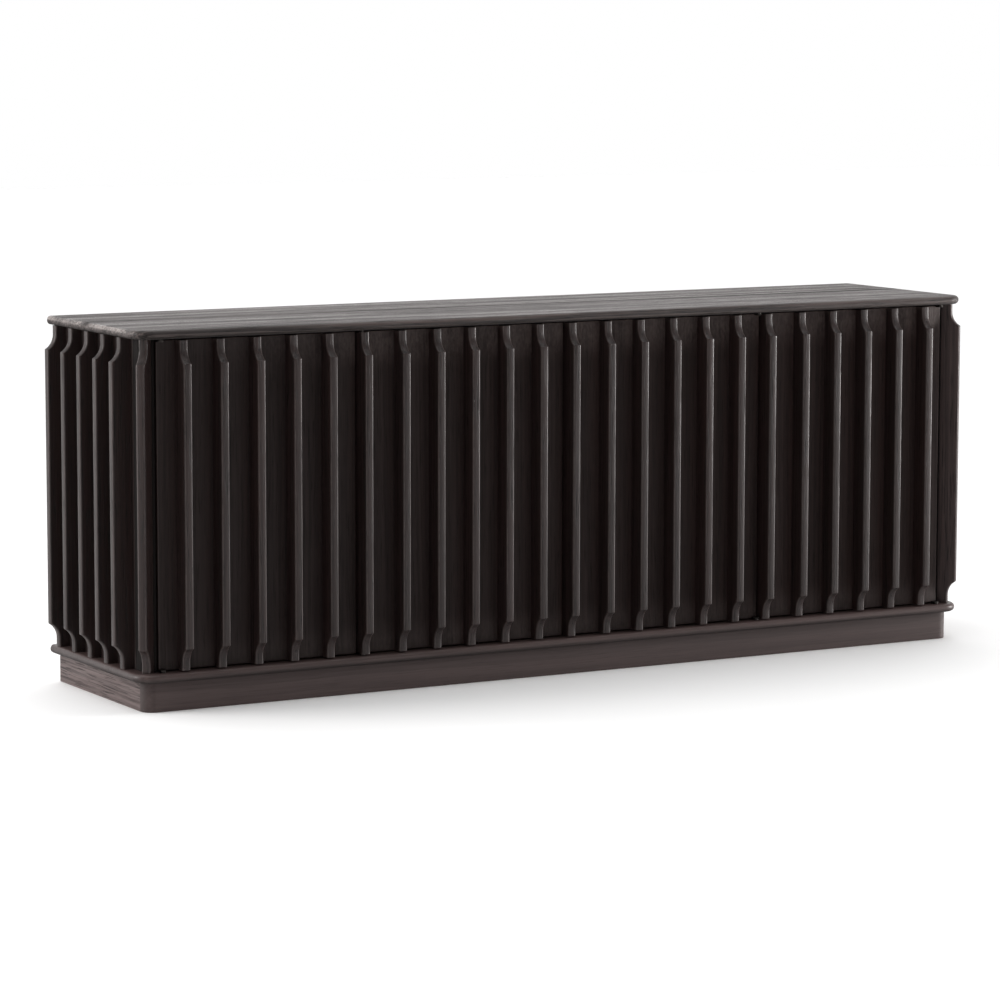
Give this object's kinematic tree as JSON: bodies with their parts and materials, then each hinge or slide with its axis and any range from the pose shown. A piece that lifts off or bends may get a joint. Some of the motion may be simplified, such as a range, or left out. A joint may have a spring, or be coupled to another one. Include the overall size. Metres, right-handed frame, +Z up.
{
  "type": "sideboard buffet",
  "caption": "Low, long sideboard with hinged doors faced with upright notched fins, a rounded-edge top and a recessed plinth.",
  "frame": {"origin": "middle of the footprint, on the floor", "axes": "+X to the right along the front, +Y to the back, +Z up; the doors face -Y"},
  "size_m": [2.007, 0.462, 0.757],
  "materials": {
    "body_wood": "dark espresso stain, open grain, satin",
    "top_wood": "weathered grey-brown stain, satin",
    "plinth_wood": "dark brown stain, satin",
    "inside_wood": "thin brown stain, matt",
    "hinge_steel": "blackened, brushed",
    "catch_plastic": "matt"
  },
  "bodies": {
    "carcass": {"top_board_front": "top_wood", "top_board_back": "top_wood", "base_board": "body_wood", "plinth_front": "plinth_wood", "plinth_left": "plinth_wood", "plinth_right": "plinth_wood", "plinth_back": "plinth_wood", "side_panel_left": "body_wood", "side_panel_right": "body_wood", "corner_post_left": "body_wood", "corner_post_right": "body_wood", "corner_fins": "body_wood", "side_fins_left": "body_wood", "side_fins_right": "body_wood", "partition_left": "inside_wood", "partition_right": "inside_wood", "back_panel": "inside_wood", "shelf_left": "inside_wood", "shelf_center": "inside_wood", "shelf_right": "inside_wood", "shelf_pins": "hinge_steel", "hinge_leaves_fixed": "hinge_steel", "hinge_pins": "hinge_steel", "carcass_screws": "hinge_steel", "magnetic_catches": "catch_plastic"},
    "door_1": {"door_1_panel": "body_wood", "door_1_hinge_leaves": "hinge_steel", "door_1_screws": "hinge_steel", "door_1_fin_1": "body_wood", "door_1_fin_2": "body_wood", "door_1_fin_3": "body_wood", "door_1_fin_4": "body_wood", "door_1_fin_5": "body_wood"},
    "door_2": {"door_2_panel": "body_wood", "door_2_hinge_leaves": "hinge_steel", "door_2_screws": "hinge_steel", "door_2_fin_1": "body_wood", "door_2_fin_2": "body_wood", "door_2_fin_3": "body_wood", "door_2_fin_4": "body_wood", "door_2_fin_5": "body_wood", "door_2_fin_6": "body_wood"},
    "door_3": {"door_3_panel": "body_wood", "door_3_hinge_leaves": "hinge_steel", "door_3_screws": "hinge_steel", "door_3_fin_1": "body_wood", "door_3_fin_2": "body_wood", "door_3_fin_3": "body_wood", "door_3_fin_4": "body_wood", "door_3_fin_5": "body_wood", "door_3_fin_6": "body_wood"},
    "door_4": {"door_4_panel": "body_wood", "door_4_hinge_leaves": "hinge_steel", "door_4_screws": "hinge_steel", "door_4_fin_1": "body_wood", "door_4_fin_2": "body_wood", "door_4_fin_3": "body_wood", "door_4_fin_4": "body_wood", "door_4_fin_5": "body_wood", "door_4_fin_6": "body_wood"}
  },
  "joints": [
    {"name": "door_1_hinge", "type": "hinge", "parent": "carcass", "child": "door_1", "pos_m": [-0.931, -0.199, 0.409], "axis": [0, 0, -1], "range_deg": [0, 90]},
    {"name": "door_2_hinge", "type": "hinge", "parent": "carcass", "child": "door_2", "pos_m": [-0.49, -0.199, 0.409], "axis": [0, 0, -1], "range_deg": [0, 90]},
    {"name": "door_3_hinge", "type": "hinge", "parent": "carcass", "child": "door_3", "pos_m": [0.46, -0.199, 0.409], "axis": [0, 0, 1], "range_deg": [0, 90]},
    {"name": "door_4_hinge", "type": "hinge", "parent": "carcass", "child": "door_4", "pos_m": [0.931, -0.199, 0.409], "axis": [0, 0, 1], "range_deg": [0, 90]}
  ]
}
